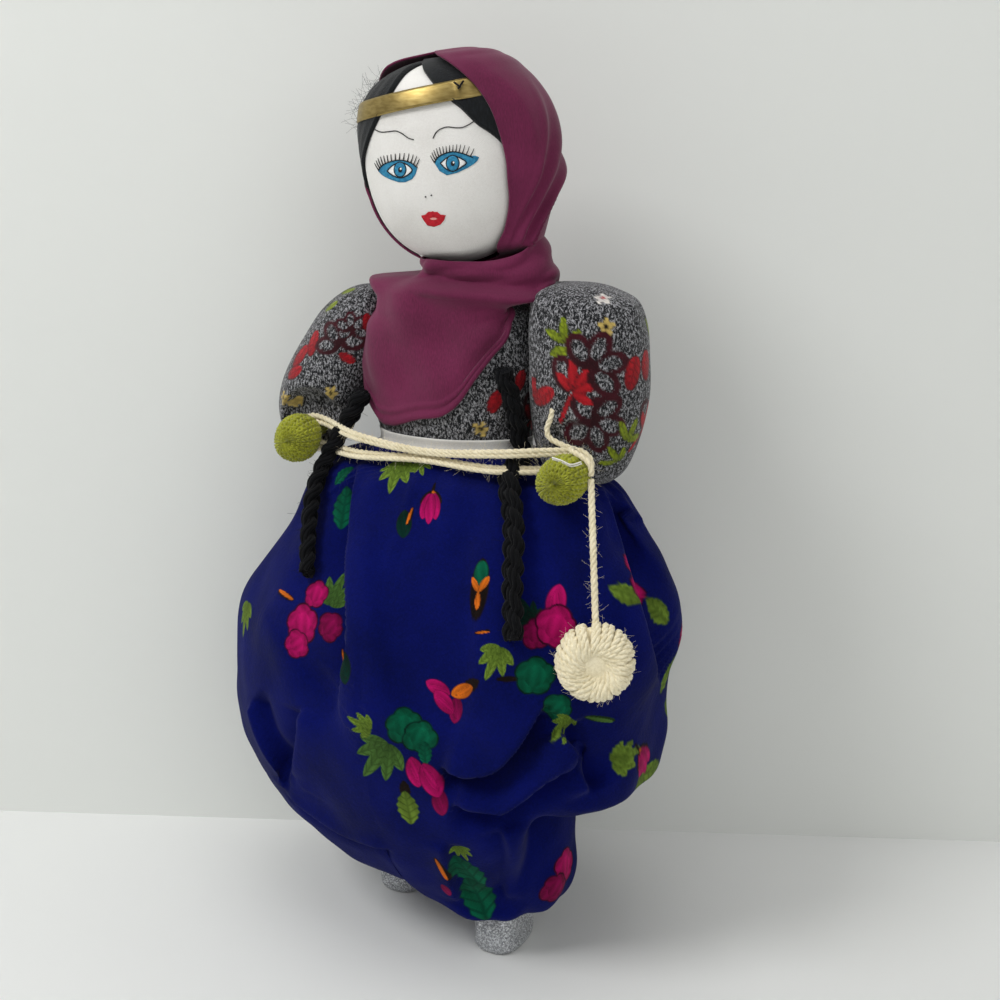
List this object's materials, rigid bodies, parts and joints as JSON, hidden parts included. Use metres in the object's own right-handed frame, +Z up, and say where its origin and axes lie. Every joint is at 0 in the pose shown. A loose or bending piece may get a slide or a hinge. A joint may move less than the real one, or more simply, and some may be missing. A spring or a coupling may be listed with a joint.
{
  "type": "rag doll",
  "caption": "Standing stuffed cloth doll in a head scarf, puff-sleeved flower blouse and wide gathered flower trousers, winding a hank of yarn between knitted hands.",
  "frame": {"origin": "on the floor, under the middle of the doll", "axes": "+Z up, the doll faces -Y and its left hand is on +X"},
  "size_m": [0.2212, 0.1526, 0.4033],
  "materials": {
    "head_cloth": "plain white cotton",
    "calico": "plain calico with stuffing",
    "hair_felt": "dark blue-black wool fibre",
    "gold_ribbon": "woven metallic ribbon",
    "black_thread": "sewing thread",
    "scarf_cloth": "plum cotton crepe",
    "blouse_cloth": "grey flower print",
    "white_tape": "cotton tape",
    "hand_wool": "yellow-green knitting wool",
    "trouser_wool": "blue wool flower print",
    "glitter_cloth": "silver glitter cloth",
    "braid_yarn": "black plaited yarn",
    "cream_yarn": "cream wool yarn",
    "white_thread": "sewing thread"
  },
  "bodies": {
    "torso": {"trunk": "calico", "bodice": "blouse_cloth", "neck": "calico", "waist_tape": "white_tape", "scarf_bib": "scarf_cloth", "braid_left": "braid_yarn", "braid_right": "braid_yarn", "trousers_bag": "trouser_wool"},
    "head": {"head_cover": "head_cloth", "head_stuffing": "calico", "hair_left": "hair_felt", "hair_right": "hair_felt", "headband": "gold_ribbon", "headband_stitch": "black_thread", "scarf_hood": "scarf_cloth"},
    "left_arm": {"sleeve_left": "blouse_cloth", "arm_left": "calico", "hand_left": "hand_wool", "yarn_hank": "cream_yarn", "hand_thread": "white_thread"},
    "right_arm": {"sleeve_right": "blouse_cloth", "arm_right": "calico", "hand_right": "hand_wool"},
    "yarn_drop": {"yarn_strand": "cream_yarn", "yarn_ball": "cream_yarn", "yarn_ball_core": "cream_yarn", "yarn_ball_heart": "cream_yarn"},
    "left_leg": {"leg_left": "calico", "trouser_leg_left": "trouser_wool", "shoe_left": "glitter_cloth"},
    "right_leg": {"leg_right": "calico", "trouser_leg_right": "trouser_wool", "shoe_right": "glitter_cloth"}
  },
  "joints": [
    {"name": "head_turn", "type": "hinge", "parent": "torso", "child": "head", "pos_m": [0, 0.005, 0.313], "axis": [0, 0, 1], "range_deg": [-30, 30]},
    {"name": "left_shoulder", "type": "hinge", "parent": "torso", "child": "left_arm", "pos_m": [0.0369, 0.012, 0.276], "axis": [-1, 0, 0], "range_deg": [0, 50]},
    {"name": "right_shoulder", "type": "hinge", "parent": "torso", "child": "right_arm", "pos_m": [-0.0369, 0.012, 0.276], "axis": [-1, 0, 0], "range_deg": [0, 50]},
    {"name": "yarn_hang", "type": "hinge", "parent": "left_arm", "child": "yarn_drop", "pos_m": [0.0795, -0.0269, 0.235], "axis": [-1, 0, 0], "range_deg": [-50, 0]},
    {"name": "left_hip", "type": "hinge", "parent": "torso", "child": "left_leg", "pos_m": [0.018, 0.005, 0.165], "axis": [-1, 0, 0], "range_deg": [-12, 12]},
    {"name": "right_hip", "type": "hinge", "parent": "torso", "child": "right_leg", "pos_m": [-0.018, 0.005, 0.165], "axis": [-1, 0, 0], "range_deg": [-12, 12]}
  ],
  "couplings": [
    {"joint": "right_shoulder", "follows": "left_shoulder", "ratio": 1},
    {"joint": "yarn_hang", "follows": "left_shoulder", "ratio": -1}
  ]
}
